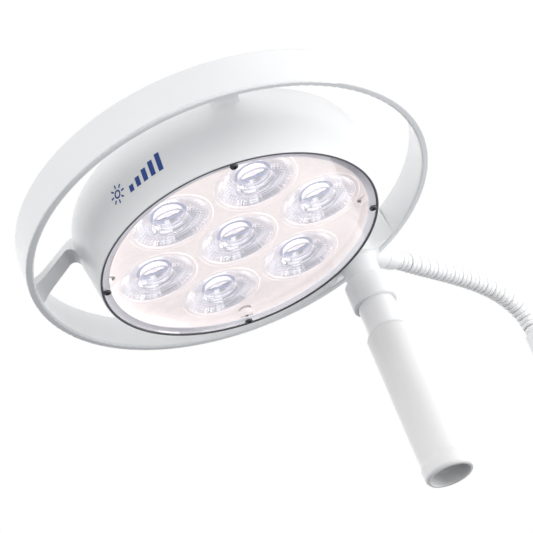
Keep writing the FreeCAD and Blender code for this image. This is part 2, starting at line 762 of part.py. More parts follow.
def handle_core():
    """Neck and guide tube that the grip slides on, with two O-ring grooves."""
    guide_r = grip_bore_r - 1.9
    low = collar_drop + collar_len - 4.5
    tube = along_handle([
        (6.5, -14, 0), (8.0, -14, 0.8), (8.0, low, 0), (neck_r, low, 0), (neck_r, grip_start - 3.0, 0.6),
        (guide_r, grip_start - 3.0, 0), (guide_r, core_end, 1.2), (guide_r - 2.2, core_end, 0),
        (guide_r - 2.2, low + 6, 0), (6.5, low + 4, 0)])
    grooves = [along_handle([(guide_r - 1.2, z, 0), (guide_r + 3, z, 0), (guide_r + 3, z + 2.6, 0),
                             (guide_r - 1.2, z + 2.6, 0)]) for z in (grip_start + 8, core_end - 10)]
    return without(tube, grooves)


def grip_o_rings():
    guide_r = grip_bore_r - 1.9
    rings = []
    for z in (grip_start + 9.3, core_end - 8.7):
        o_ring = Part.makeTorus(guide_r + 0.1, 1.3, ORIGIN, Z)
        rings.append(placed(o_ring, handle_top + handle_dir * z, handle_dir))
    return rings


def handle_grip():
    """Pull-off grip: an open tube with a rounded bead at its lower end."""
    start, end = grip_start - 2.7, grip_end
    inner = grip_bore_r - 0.4
    return along_handle([
        (inner, start, 0), (inner + 0.5, start, 0), (grip_r, start + 3.0, 2.0), (grip_r, end - 13, 4),
        (grip_r + 0.9, end - 9, 3), (grip_r + 0.6, end, 3.0), (grip_bore_r, end, 1.2),
        (grip_bore_r, end - 10, 0), (inner, end - 12, 0)])


# ---- push-button ----
def button_cap():
    top = hub_top_z + 1.6
    cap = turned([(0, top, 0), (button_r, top, 1.0), (button_r, hub_top_z - 3.0, 0),
                  (button_r - 1.2, hub_top_z - 3.0, 0), (button_r - 1.2, top - 1.6, 0),
                  (1.6, top - 1.6, 0), (1.6, button_floor_z + 4.6, 0), (0, button_floor_z + 4.6, 0)])
    cap.translate(V(button_x, 0, 0))
    return cap


def button_spring():
    """Coil spring between the switch board and the cap."""
    low = button_floor_z + 1.7
    high = hub_top_z - 0.35
    helix = Part.makeHelix(1.55, high - low - 0.6, 3.9)
    section = Part.Wire(Part.Circle(V(3.9, 0, 0), Y, 0.3).toShape())
    coil = Part.Wire(helix).makePipeShell([section], True, True)
    coil.translate(V(button_x, 0, low + 0.3))
    return coil


def button_switch():
    board = disc(6.6, button_floor_z, button_floor_z + 1.2, button_x, 0)
    body = Part.makeBox(4.6, 4.6, 1.8, V(button_x - 2.3, -2.3, button_floor_z + 1.2))
    return joined([board, body])


def main():
    save_lamp("housing_shell", housing_shell())
    save_lamp("rear_cover", rear_cover())
    save_lamp("cover_screws", cover_screws())
    save_lamp("window_pane", window_pane())
    save_lamp("window_gasket", window_gasket())
    save_lamp("window_screws", window_screws())
    save_lamp("lens_carrier", lens_carrier())
    for number, (radius, angle) in enumerate(lens_places, start=1):
        save_lamp(f"lens_{number}", around(lens(), radius, [angle]))
    save_lamp("led_boards", led_boards())
    save_lamp("led_emitters", led_emitters())
    save_lamp("heat_sink", heat_sink())
    save_lamp("sink_screws", sink_screws())
    save_lamp("driver_posts", driver_posts())
    save_lamp("driver_board", driver_board())
    save_lamp("driver_parts", driver_parts())
    save_lamp("head_lead", head_lead())
    save_lamp("grab_rail", grab_rail())
    save_lamp("rail_screws", rail_screws())
    save_lamp("hub_body", hub_body())
    save_lamp("arm_socket", arm_socket())
    save_lamp("hub_screws", hub_screws())
    save_lamp("swivel_bushes", swivel_bushes())
    save_lamp("head_ferrule", head_ferrule())
    save_lamp("swivel_shaft", swivel_shaft())
    save_lamp("retaining_ring", retaining_ring())
    save_lamp("stop_pin", stop_pin())
    for number in range(1, sections + 1):
        save_lamp(f"arm_section_{number:02d}", arm_section(sections - number))
    save("lower_ferrule", lower_ferrule())
    save("arm_tube", arm_tube())
    save("ferrule_screws", ferrule_screws())
    save("mount_spigot", mount_spigot())
    save("spigot_grommet", spigot_grommet())
    save_lamp("handle_collar", handle_collar())
    save_lamp("handle_core", handle_core())
    save_lamp("grip_o_rings", grip_o_rings())
    save_lamp("handle_grip", handle_grip())
    save_lamp("button_cap", button_cap())
    save_lamp("button_spring", button_spring())
    save_lamp("button_switch", button_switch())
    print("lamp place", lamp_place)


main()
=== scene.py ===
"""Looks of the dental operating light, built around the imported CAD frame.

Sizes are in millimetres in this script's own outlines and become metres when a mesh is made.
The lamp head is drawn about its optical axis: the origin is the middle of the window, +Z goes
into the lamp and +X towards the arm.
"""

import json
import math

import bmesh
import bpy
from mathutils import Matrix, Vector


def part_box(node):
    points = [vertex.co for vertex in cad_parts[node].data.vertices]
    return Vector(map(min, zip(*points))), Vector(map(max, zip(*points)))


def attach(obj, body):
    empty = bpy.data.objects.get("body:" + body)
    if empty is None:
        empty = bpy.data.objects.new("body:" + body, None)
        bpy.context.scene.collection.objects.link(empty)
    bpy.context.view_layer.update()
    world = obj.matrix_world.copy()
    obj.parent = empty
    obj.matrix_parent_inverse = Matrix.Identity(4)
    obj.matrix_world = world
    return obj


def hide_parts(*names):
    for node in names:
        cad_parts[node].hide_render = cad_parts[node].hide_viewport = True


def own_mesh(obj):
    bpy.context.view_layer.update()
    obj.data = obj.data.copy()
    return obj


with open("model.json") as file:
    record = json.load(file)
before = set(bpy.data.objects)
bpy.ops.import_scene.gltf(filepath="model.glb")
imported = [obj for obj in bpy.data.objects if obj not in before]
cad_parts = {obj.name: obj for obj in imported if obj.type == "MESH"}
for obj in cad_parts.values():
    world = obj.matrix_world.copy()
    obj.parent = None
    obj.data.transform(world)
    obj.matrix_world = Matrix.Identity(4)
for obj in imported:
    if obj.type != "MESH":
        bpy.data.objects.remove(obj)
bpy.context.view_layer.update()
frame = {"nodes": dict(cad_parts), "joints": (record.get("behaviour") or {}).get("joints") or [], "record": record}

MM = 0.001
TIP_R = 1e-4                 # a ring thinner than this is one point

# ---- places, read from the frame ----
pane_low, pane_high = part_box("window_pane")
WINDOW_GAP = 0.4
LAMP = Vector(((pane_low.x + pane_high.x) / 2, (pane_low.y + pane_high.y) / 2,
               pane_low.z - WINDOW_GAP * MM))
JOINTS = {joint["name"]: joint for joint in frame["joints"]}


# ---- mesh helpers ----
def link(name, mesh):
    thing = bpy.data.objects.new(name, mesh)
    bpy.context.scene.collection.objects.link(thing)
    return thing


def shade(mesh, angle=35):
    """Smooth shading, with edges sharper than the angle left crisp."""
    mesh.shade_smooth()
    mesh.set_sharp_from_angle(angle=math.radians(angle))


def rounded(corners, closed, steps):
    """Points of an outline of (r, z, corner radius) with every corner turned into an arc."""
    points = []
    count = len(corners)
    for i, (x, z, r) in enumerate(corners):
        here = Vector((x, z))
        end_point = not closed and i in (0, count - 1)
        if r == 0 or end_point:
            points.append(here)
            continue
        before = (Vector(corners[i - 1][:2]) - here).normalized()
        after = (Vector(corners[(i + 1) % count][:2]) - here).normalized()
        half = before.angle(after) / 2
        reach = r / math.tan(half)
        centre = here + (before + after).normalized() * (r / math.sin(half))
        start = here + before * reach - centre
        turn = math.pi - 2 * half
        side = 1 if start.x * after.y - start.y * after.x > 0 else -1
        for step in range(steps + 1):
            angle = side * turn * step / steps
            c, s = math.cos(angle), math.sin(angle)
            points.append(centre + Vector((start.x * c - start.y * s, start.x * s + start.y * c)))
    return points


def bridge(bm, low, high):
    """Adds the faces between two rings of vertices; a ring may be a single vertex."""
    count = max(len(low), len(high))
    faces = []
    for k in range(count):
        n = (k + 1) % count
        corners = [low[k % len(low)], low[n % len(low)], high[n % len(high)], high[k % len(high)]]
        corners = list(dict.fromkeys(corners))
        if len(corners) > 2:
            faces.append(bm.faces.new(corners))
    return faces


def lathe_mesh(bm, points, closed, segments, place):
    """Adds a surface of revolution about Z through (r, z) points, in millimetres."""
    rings = []
    for r, z in points:
        ring = []
        for k in range(1 if r < TIP_R else segments):
            a = 2 * math.pi * k / segments
            ring.append(bm.verts.new(place @ Vector((r * math.cos(a) * MM, r * math.sin(a) * MM, z * MM))))
        rings.append(ring)
    following = rings[1:] + rings[:1] if closed else rings[1:]
    for low, high in zip(rings, following):
        bridge(bm, low, high)


def finish_mesh(name, bm, angle=35):
    """Turns the bmesh into a shaded object in the scene."""
    bmesh.ops.recalc_face_normals(bm, faces=bm.faces)
    mesh = bpy.data.meshes.new(name)
    bm.to_mesh(mesh)
    bm.free()
    shade(mesh, angle)
    return link(name, mesh)


def aim(start, direction):
    """Matrix that carries the Z axis onto a line."""
    turn = Vector((0, 0, 1)).rotation_difference(Vector(direction))
    return Matrix.Translation(Vector(start)) @ turn.to_matrix().to_4x4()


# ---- materials ----
CLOUD_SCALE = 18             # soft clouds in the tone; noise scales are in cycles per metre
PATCH_SCALE = CLOUD_SCALE * 6    # patches in the gloss
GRAIN_SCALE = 1400
TONE_SPREAD = 0.02
GLOSS_SPREAD = 0.06
GRAIN_STRENGTH = 0.05
GRAIN_DEPTH = 0.0001         # metres
COAT_ROUGH = 0.12
PLASTIC_IOR = 1.49
RIPPLE_SCALE = 60
RIPPLE_DEPTH = 0.001         # metres
FACET_CLOUD_SCALE, FACET_PATCH_SCALE, FACET_GRAIN_SCALE = 260, 500, 900
FACET_TONE = 0.93            # darkest cloud against the facets' own colour
FACING_SPAN = (0.2, 0.6)     # facing value where a facet's painted glow starts and ends its change


def principled(name):
    """New material, its node tree and its shader."""
    material = bpy.data.materials.new(name)
    material.use_nodes = True
    return material, material.node_tree, material.node_tree.nodes["Principled BSDF"]


def noise(tree, scale, detail=2.0):
    """Grey noise fixed to the object."""
    place = tree.nodes.new("ShaderNodeTexCoord")
    texture = tree.nodes.new("ShaderNodeTexNoise")
    texture.inputs["Scale"].default_value = scale
    texture.inputs["Detail"].default_value = detail
    tree.links.new(place.outputs["Object"], texture.inputs["Vector"])
    return texture.outputs["Fac"]


def ramp(tree, source, low, high, start=0.35, end=0.65):
    """Maps a grey value to a range between two colours."""
    node = tree.nodes.new("ShaderNodeValToRGB")
    node.color_ramp.elements[0].position = start
    node.color_ramp.elements[1].position = end
    node.color_ramp.elements[0].color = (*low, 1)
    node.color_ramp.elements[1].color = (*high, 1)
    tree.links.new(source, node.inputs["Fac"])
    return node.outputs["Color"]


def grey(value):
    return (value, value, value)


def bump(tree, shader, height, strength, distance):
    node = tree.nodes.new("ShaderNodeBump")
    node.inputs["Strength"].default_value = strength
    node.inputs["Distance"].default_value = distance
    tree.links.new(height, node.inputs["Height"])
    tree.links.new(node.outputs["Normal"], shader.inputs["Normal"])


def moulded(name, colour, rough=0.35, coat=0.0, metallic=0.0):
    """Moulded, painted or metal finish: soft tone clouds, uneven gloss and a fine grain."""
    material, tree, shader = principled(name)
    shader.inputs["Metallic"].default_value = metallic
    shader.inputs["Coat Weight"].default_value = coat
    shader.inputs["Coat Roughness"].default_value = COAT_ROUGH
    clouds = noise(tree, CLOUD_SCALE, 3.0)
    dark = tuple(max(0.0, c * (1 - TONE_SPREAD)) for c in colour)
    light = tuple(min(1.0, c * (1 + TONE_SPREAD * 0.5)) for c in colour)
    tree.links.new(ramp(tree, clouds, dark, light), shader.inputs["Base Color"])
    patches = noise(tree, PATCH_SCALE, 4.0)
    gloss = ramp(tree, patches, grey(rough - GLOSS_SPREAD), grey(rough + GLOSS_SPREAD))
    tree.links.new(gloss, shader.inputs["Roughness"])
    bump(tree, shader, noise(tree, GRAIN_SCALE, 3.0), GRAIN_STRENGTH, GRAIN_DEPTH)
    return material


def clear(name, colour, rough, relief):
    """Clear plastic that lets the lamps through it, with a faint moulding ripple."""
    material, tree, shader = principled(name)
    tree.nodes.remove(shader)
    glass = tree.nodes.new("ShaderNodeBsdfGlass")
    glass.inputs["Color"].default_value = (*colour, 1)
    glass.inputs["IOR"].default_value = PLASTIC_IOR
    glass.inputs["Roughness"].default_value = rough
    bump(tree, glass, noise(tree, RIPPLE_SCALE), relief, RIPPLE_DEPTH)
    open_way = tree.nodes.new("ShaderNodeBsdfTransparent")
    open_way.inputs["Color"].default_value = (*colour, 1)
    path = tree.nodes.new("ShaderNodeLightPath")
    mix = tree.nodes.new("ShaderNodeMixShader")
    tree.links.new(path.outputs["Is Shadow Ray"], mix.inputs["Fac"])
    tree.links.new(glass.outputs[0], mix.inputs[1])
    tree.links.new(open_way.outputs[0], mix.inputs[2])
    tree.links.new(mix.outputs[0], tree.nodes["Material Output"].inputs["Surface"])
    return material


def facets(name, colour, face_on, grazing, strength, rough=0.08):
    """Mirror-like back of a lens, with a painted glow that changes from face-on to grazing, in place of LED light
    reflected inside the lens.
    """
    material, tree, shader = principled(name)
    shader.inputs["Metallic"].default_value = 1.0
    clouds = noise(tree, FACET_CLOUD_SCALE, 3.0)
    dark = tuple(c * FACET_TONE for c in colour)
    tree.links.new(ramp(tree, clouds, dark, colour), shader.inputs["Base Color"])
    patches = noise(tree, FACET_PATCH_SCALE)
    tree.links.new(ramp(tree, patches, grey(rough), grey(rough + GLOSS_SPREAD)), shader.inputs["Roughness"])
    bump(tree, shader, noise(tree, FACET_GRAIN_SCALE), GRAIN_STRENGTH, GRAIN_DEPTH)
    # Painted glow: the emission colour follows how squarely a face is seen.
    slant = tree.nodes.new("ShaderNodeLayerWeight")
    tree.links.new(ramp(tree, slant.outputs["Facing"], face_on, grazing, *FACING_SPAN),
                   shader.inputs["Emission Color"])
    shader.inputs["Emission Strength"].default_value = strength
    return material


def lit(material, colour, strength):
    """Gives a finish a glow of its own: real light for the LEDs, painted light for parts that are no lamp."""
    shader = material.node_tree.nodes["Principled BSDF"]
    shader.inputs["Emission Color"].default_value = (*colour, 1)
    shader.inputs["Emission Strength"].default_value = strength


BAND_GLOW_SPAN = (0.62, 0.86)    # share of the band's width, from far side to hub, over which the painted glow rises


def edge_lit(material, dim, bright):
    """Painted glow of the window's band, stronger towards the hub; not physical."""
    tree = material.node_tree
    place = tree.nodes.new("ShaderNodeTexCoord")
    split = tree.nodes.new("ShaderNodeSeparateXYZ")
    tree.links.new(place.outputs["Generated"], split.inputs[0])
    shader = tree.nodes["Principled BSDF"]
    glow = ramp(tree, split.outputs["X"], dim, bright, *BAND_GLOW_SPAN)
    tree.links.new(glow, shader.inputs["Emission Color"])
    shader.inputs["Emission Strength"].default_value = 1.0


MATERIALS = {
    "white_shell": moulded("satin_white_shell", (0.83, 0.835, 0.835), 0.36, coat=0.15),
    "white_arm": moulded("white_coated_steel", (0.83, 0.835, 0.83), 0.33, coat=0.1),
    "tray": moulded("pearl_tray", (0.80, 0.75, 0.74), 0.28, coat=0.15),
    "gasket": moulded("grey_gasket", (0.78, 0.78, 0.82), 0.5),
    "dark_screw": moulded("black_screw", (0.13, 0.13, 0.14), 0.26, metallic=0.8),
    "zinc_screw": moulded("zinc_screw", (0.62, 0.62, 0.63), 0.28, metallic=1.0),
    "board": moulded("white_board", (0.80, 0.80, 0.78), 0.4),
    "emitter": moulded("phosphor", (0.90, 0.78, 0.30), 0.3),
    "sink": moulded("natural_aluminium", (0.62, 0.63, 0.65), 0.32, metallic=1.0),
    "circuit": moulded("green_board", (0.02, 0.16, 0.08), 0.35),
    "component": moulded("dark_component", (0.04, 0.04, 0.045), 0.4),
    "nylon": moulded("natural_nylon", (0.74, 0.72, 0.66), 0.45),
    "lead": moulded("pale_lead", (0.70, 0.70, 0.71), 0.5),
    "steel": moulded("ground_steel", (0.62, 0.63, 0.65), 0.22, metallic=1.0),
    "black_rubber": moulded("black_rubber", (0.015, 0.015, 0.015), 0.6),
    "blue_button": moulded("blue_button", (0.03, 0.12, 0.42), 0.42),
    "blue_print": moulded("blue_print", (0.008, 0.05, 0.26), 0.45),
    "window": clear("clear_pane", (0.99, 0.985, 0.985), 0.0, 0.004),
    "lens": clear("clear_lens", (0.985, 0.985, 0.99), 0.015, 0.01),
}
# Painted glow on the lens's back: blue-grey where a facet is seen face-on, pinkish white at grazing, for LED light
# reflected inside the lens.
FACETS = facets("lens_facets", (0.67, 0.67, 0.69), (0.60, 0.605, 0.66), (1.0, 0.94, 0.93), 0.50, 0.03)
# Painted glow in the LED pocket: pinkish white face-on, bluish at grazing.
POCKET = facets("lens_pocket", (0.80, 0.80, 0.86), (1.0, 0.94, 0.93), (0.70, 0.72, 0.88), 0.85)
RIM = moulded("lens_flange", (0.86, 0.82, 0.82), 0.15, coat=0.6)
# Painted shade: a dark blue-grey band at the lens's back edge, for the shaded gap between lens and board; it also
# gets a painted bluish glow.
SEAT_SHADE_AND_GLOW = moulded("lens_seat_painted_shade", (0.46, 0.49, 0.60), 0.3)
# Painted shade: a darker tone for the faces deep in the arm's grooves.
GROOVE_SHADE = moulded("shaded_groove", (0.62, 0.625, 0.63), 0.5)
GRIP = moulded("matt_white_grip", (0.75, 0.75, 0.745), 0.42, coat=0.1)
LIP = moulded("dark_joint_lip", (0.09, 0.09, 0.105), 0.5)
OWN_FINISH = {"handle_grip": GRIP}


def dress_cad():
    """Every CAD node gets the material of its slot, or a finish of its own."""
    for part in frame["record"]["subparts"]:
        thing = frame["nodes"][part["node"]]
        thing.data.materials.clear()
        thing.data.materials.append(OWN_FINISH.get(part["node"], MATERIALS[part["material_slot"]]))


# ---- optics ----
LENS_CORNERS = [(0, 17.2, 0), (6, 15.6, 5), (12.2, 16.4, 0.6), (13.1, 10.0, 0.7), (28.9, 10.0, 0.8),
                (29.0, 12.2, 0.5), (26.6, 13.2, 0.3), (20.5, 21, 30), (11.5, 27, 0), (5.0, 27, 0.4),
                (4.4, 20, 0.4), (0, 21.4, 0)]
WALL_SPAN = (13.6, 26.9)     # heights of the faceted wall
WALL_MIN_R = 11
PILLOWS = 48                 # facets round the wall
STRIPS = 4                   # strips and rows in each facet
PILLOW_RISE = 0.16
ROW = 0.65
POCKET_R, POCKET_LOW_Z = 5.2, 20.2
FLANGE_R = 26.0
SEAT_MIN_R, SEAT_EDGE_Z = 10, 26.2
FRONT_FACE, WALL_FACE, POCKET_FACE, FLANGE_FACE, SEAT_FACE = range(5)    # order of the lens's materials


def lens_face(middle, on_wall):
    """Which material a lens face gets, from its middle and from being on the wall."""
    away = math.hypot(middle.x, middle.y)
    # The lens's back edge gets the painted shade band.
    if away > SEAT_MIN_R * MM and middle.z > SEAT_EDGE_Z * MM:
        return SEAT_FACE
    if on_wall:
        return WALL_FACE
    if away < POCKET_R * MM and middle.z > POCKET_LOW_Z * MM:
        return POCKET_FACE
    return FLANGE_FACE if away > FLANGE_R * MM else FRONT_FACE


def lens_mesh(name, centre):
    """Collimator lens: clear front and LED pocket, pillowed mirror-like back."""
    points = rounded(LENS_CORNERS, False, steps=8)
    fine = []
    for here, after in zip(points, points[1:]):
        parts = max(1, round((after - here).length / ROW))
        fine += [here.lerp(after, k / parts) for k in range(parts)]
    fine.append(points[-1])
    segments = PILLOWS * STRIPS
    bm = bmesh.new()
    rings = []
    for row, (r, z) in enumerate(fine):
        on_wall = WALL_SPAN[0] < z < WALL_SPAN[1] and r > WALL_MIN_R
        ring = []
        for k in range(1 if r < TIP_R else segments):
            a = 2 * math.pi * k / segments
            rise = PILLOW_RISE * abs(math.sin(math.pi * k / STRIPS) * math.sin(math.pi * row / STRIPS))
            reach = r + rise * on_wall
            ring.append(bm.verts.new(centre + Vector((reach * math.cos(a), reach * math.sin(a), z)) * MM))
        rings.append((ring, on_wall))
    for (low, low_wall), (high, high_wall) in zip(rings, rings[1:]):
        for face in bridge(bm, low, high):
            middle = face.calc_center_median() - centre
            face.material_index = lens_face(middle, low_wall and high_wall)
    return finish_mesh(name, bm, angle=40)


def build_lenses():
    """Seven lenses, each over the middle of its CAD lens."""
    for index in range(1, 8):
        node = f"lens_{index}"
        low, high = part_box(node)
        centre = Vector(((low.x + high.x) / 2, (low.y + high.y) / 2, LAMP.z))
        lens = lens_mesh(f"collimator_{index}", centre)
        lens.data.materials.append(MATERIALS["lens"])
        lens.data.materials.append(FACETS)
        lens.data.materials.append(POCKET)
        lens.data.materials.append(RIM)
        lens.data.materials.append(SEAT_SHADE_AND_GLOW)
        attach(lens, "head")
        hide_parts(node)


BOSS_AZIMUTHS = (45, 135, 225, 315)
BOSS_PITCH_R = 94.3
CAP_R = 4.6
CAP_SEGMENTS = 48
CAP_LIMIT_R = 94.1
CAP_LOW_Z, CAP_HIGH_Z = 6.3, 10.28


def add_boss_cap(bm, azimuth):
    """Bump in the cove over one of the bosses that the pane's screws go into."""
    outline = []
    for k in range(CAP_SEGMENTS):
        a = 2 * math.pi * k / CAP_SEGMENTS
        x, y = BOSS_PITCH_R + CAP_R * math.cos(a), CAP_R * math.sin(a)
        if math.hypot(x, y) < CAP_LIMIT_R:
            outline.append(Vector((x * math.cos(azimuth) - y * math.sin(azimuth),
                                   x * math.sin(azimuth) + y * math.cos(azimuth), 0)))
    low, high = ([bm.verts.new(LAMP + (point + Vector((0, 0, z))) * MM) for point in outline]
                 for z in (CAP_LOW_Z, CAP_HIGH_Z))
    bm.faces.new(low[::-1])
    bm.faces.new(high)
    bridge(bm, low, high)


def build_tray():
    """Glossy tray round the lenses, with a cap over each screw boss."""
    bm = bmesh.new()
    bm.from_mesh(frame["nodes"]["lens_carrier"].data)
    for azimuth in BOSS_AZIMUTHS:
        add_boss_cap(bm, math.radians(azimuth))
    tray = finish_mesh("lens_tray", bm, angle=40)
    tray.data.materials.clear()
    tray.data.materials.append(MATERIALS["tray"])
    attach(tray, "head")
    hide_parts("lens_carrier")


BAND_SEGMENTS = 256
LIP_INNER_R = 97.6           # the band is its dark lip outside this


def build_gasket():
    """Flat grey band behind the pane's edge, with a dark lip that covers the edge of the rim."""
    bm = bmesh.new()
    band = rounded([(92.7, 3.42, 0.2), (97.85, 3.42, 0), (97.85, 0.1, 0), (98.1, -0.28, 0.12),
                    (99.1, -0.28, 0.2), (99.2, -0.02, 0), (98.15, -0.02, 0), (98.15, 4.55, 0),
                    (92.7, 4.55, 0.2)], True, steps=3)
    lathe_mesh(bm, band, True, BAND_SEGMENTS, Matrix.Translation(LAMP))
    for face in bm.faces:
        middle = face.calc_center_median() - LAMP
        face.material_index = int(math.hypot(middle.x, middle.y) > LIP_INNER_R * MM)
    gasket = finish_mesh("window_band", bm)
    gasket.data.materials.append(MATERIALS["gasket"])
    gasket.data.materials.append(LIP)
    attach(gasket, "head")
    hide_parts("window_gasket")


# ---- printed mark on the side of the housing ----
MARK_AZIMUTH = 176.5         # degrees, where the mark starts
MARK_MIDDLE_Z = 21.8
MARK_PROUD = (0.01, 0.13)    # back and front of the print above the housing's wall
MARK_LEAN = 0.16
WELD = 1e-7                  # metres; joins the sun's patches
CONE_LOW_R, CONE_HIGH_R, CONE_HIGH_Z = 99.7, 107.7, 48.3


def on_housing(along, height, proud):
    """Point on the housing's cone, from a distance around it and a height about the mark's middle."""
    z = MARK_MIDDLE_Z + height
    r = CONE_LOW_R + (CONE_HIGH_R - CONE_LOW_R) * z / CONE_HIGH_Z
    a = math.radians(MARK_AZIMUTH) + (along + MARK_LEAN * height) / r
    return LAMP + Vector(((r + proud) * math.cos(a), (r + proud) * math.sin(a), z)) * MM


def add_patch(bm, outline):
    """Thin raised patch over a closed outline of (along, height) points."""
    back, front = ([bm.verts.new(on_housing(u, v, proud)) for u, v in outline] for proud in MARK_PROUD)
    bm.faces.new(back[::-1])
    bm.faces.new(front)
    bridge(bm, back, front)


def build_mark():
    """Lamp sign: a sun and five rising brightness bars."""
    bm = bmesh.new()
    sun_u, sun_in, sun_out, parts = 7.0, 1.7, 2.7, 40
    for k in range(parts):
        a, b = (2 * math.pi * i / parts for i in (k, k + 1))
        add_patch(bm, [(sun_u + r * math.cos(t), r * math.sin(t))
                       for r, t in ((sun_in, a), (sun_out, a), (sun_out, b), (sun_in, b))])
    rays, ray_in, ray_out, ray_half = 8, 3.8, 6.2, 0.5
    ray = [(ray_in, -ray_half), (ray_out, -ray_half), (ray_out, ray_half), (ray_in, ray_half)]
    for k in range(rays):
        t = 2 * math.pi * k / rays
        c, s = math.cos(t), math.sin(t)
        add_patch(bm, [(sun_u + x * c - y * s, x * s + y * c) for x, y in ray])
    bars, first, pitch, width = 5, 17.5, 6.0, 3.4
    foot, lowest, rise = -6.0, 4.4, 1.9
    for k in range(bars):
        start = first + pitch * k
        top = foot + lowest + rise * k
        add_patch(bm, [(start, foot), (start + width, foot), (start + width, top), (start, top)])
    bmesh.ops.remove_doubles(bm, verts=bm.verts, dist=WELD)
    mark = finish_mesh("lamp_sign", bm, angle=30)
    mark.data.materials.append(MATERIALS["blue_print"])
    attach(mark, "head")


# ---- flexible arm ----
RIB_R = 7.75
RIB_EDGE_R = 6.98            # beside the gap to the next section
VALLEY_R = 6.8               # between a section's two ribs
CROWN_FLAT, CROWN_ROUND = 2.6, 0.7    # powers that shape a rib's crown
RIB_MARGIN = 0.03            # share of a rib's width left free at each side
END_GAP = 0.42
BALL_R = 6.75
CAD_BALL_R = 5.4             # of the two ferrules, which stay as they are
BALL_DEPTH = 4.9
SEAT_DEPTH = 5.7
SEAT_CLEARANCE = 0.08
GROOVE_R = 7.1               # faces inside this get the painted shade of the grooves
BORE_R = 3.7
BORE_CORNER = 0.4
BALL_STEPS, CROWN_STEPS = 8, 12
RIB_SEGMENTS = 48


def arm_points():
    """Joint centres from the foot to the head, in metres."""
    joints = [JOINTS[f"arm_{kind}_{i}"] for i in range(1, 9) for kind in ("bend", "sway")]
    return [Vector(joint["pos_m"]) for joint in joints]


def rib_outline(length, ball_r, seat_r):
    """(r, u) outline of one section; u runs from the ball's centre at the head end to the foot end."""
    points = []
    ball_depth = min(BALL_DEPTH, math.sqrt(ball_r ** 2 - (BORE_R + BORE_CORNER) ** 2))
    for step in range(BALL_STEPS + 1):
        u = -ball_depth + (END_GAP + ball_depth) * step / BALL_STEPS
        points.append((math.sqrt(ball_r ** 2 - u ** 2), u))
    span = (length - 2 * END_GAP) / 2
    for rib in range(2):
        start = END_GAP + rib * span
        for step in range(CROWN_STEPS + 1):
            t = step / CROWN_STEPS
            crown = (1 - abs(2 * t - 1) ** CROWN_FLAT) ** CROWN_ROUND
            low = VALLEY_R if (rib == 0 and t > 0.5) or (rib == 1 and t < 0.5) else RIB_EDGE_R
            u = start + span * (RIB_MARGIN + (1 - 2 * RIB_MARGIN) * t)
            points.append((low + (RIB_R - low) * crown, u))
    for step in range(BALL_STEPS + 1):
        u = -END_GAP - (SEAT_DEPTH - END_GAP) * step / BALL_STEPS
        points.append((math.sqrt(max(seat_r ** 2 - u ** 2, BORE_R ** 2)), length + u))
    points.append((BORE_R, length - SEAT_DEPTH - BORE_CORNER))
    points.append((BORE_R, BORE_CORNER - ball_depth))
    return points


def build_arm():
    """Ribbed sections, each bent to the smooth curve through the arm's joints."""
    points = arm_points()
    count = len(points)
    ways = [(points[min(k + 1, count - 1)] - points[max(k - 1, 0)]).normalized() for k in range(count)]
    ways[0] = Vector((0, 0, 1))
    ways[-1] = Vector((-1, 0, 0))
    across = Vector((0, 1, 0))
    for index in range(1, count):
        foot, head = points[index - 1], points[index]
        foot_way, head_way = ways[index - 1], ways[index]
        length = (head - foot).length / MM
        ball_r = BALL_R if index < count - 1 else CAD_BALL_R
        seat_r = (BALL_R if index > 1 else CAD_BALL_R) + SEAT_CLEARANCE
        outline = rib_outline(length, ball_r, seat_r)
        bm = bmesh.new()
        rings = []
        for r, u in outline:
            t = 1 - u / length
            s = min(1, max(0, t))
            place = ((2 * s ** 3 - 3 * s ** 2 + 1) * foot
                     + (s ** 3 - 2 * s ** 2 + s) * foot_way * length * MM
                     + (3 * s ** 2 - 2 * s ** 3) * head
                     + (s ** 3 - s ** 2) * head_way * length * MM)
            way = foot_way.lerp(head_way, s).normalized()
            place = place + way * (t - s) * length * MM
            side = across.cross(way).normalized()
            ring = []
            for k in range(RIB_SEGMENTS):
                a = 2 * math.pi * k / RIB_SEGMENTS
                ring.append(bm.verts.new(place + (side * math.cos(a) + across * math.sin(a)) * r * MM))
            rings.append(ring)
        for row, (low, high) in enumerate(zip(rings, rings[1:] + rings[:1])):
            # Faces deep in a groove get the painted groove shade.
            in_groove = max(outline[row][0], outline[(row + 1) % len(outline)][0]) < GROOVE_R
            for face in bridge(bm, low, high):
                face.material_index = int(in_groove)
        section = finish_mesh(f"ribs_{index:02d}", bm, angle=50)
        section.data.materials.append(MATERIALS["white_arm"])
        section.data.materials.append(GROOVE_SHADE)
        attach(section, f"section_{index:02d}")
        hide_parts(f"arm_section_{index:02d}")


def build_spring():
    """Return spring under the button, on a mesh of its own."""
    spring = link("return_spring", frame["nodes"]["button_spring"].data.copy())
    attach(spring, "head")
    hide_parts("button_spring")
    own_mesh(spring)


# ---- hub ----
HANDLE_X = 128.4             # of the handle's axis
BOSS_SCALE = 0.76            # drawn-in boss against the plain one
BOSS_LIMIT_R = (12.0, 18.6)  # only the boss's outside is drawn in, not its bore
BOSS_BLEND_Z = (15.0, 19.0)  # where the boss flares into the block
BOSS_ROWS = (-2.0, 1.0, 4.0, 7.0, 10.0, 13.0, 15.0, 16.0, 17.0, 18.0)    # heights of added cuts


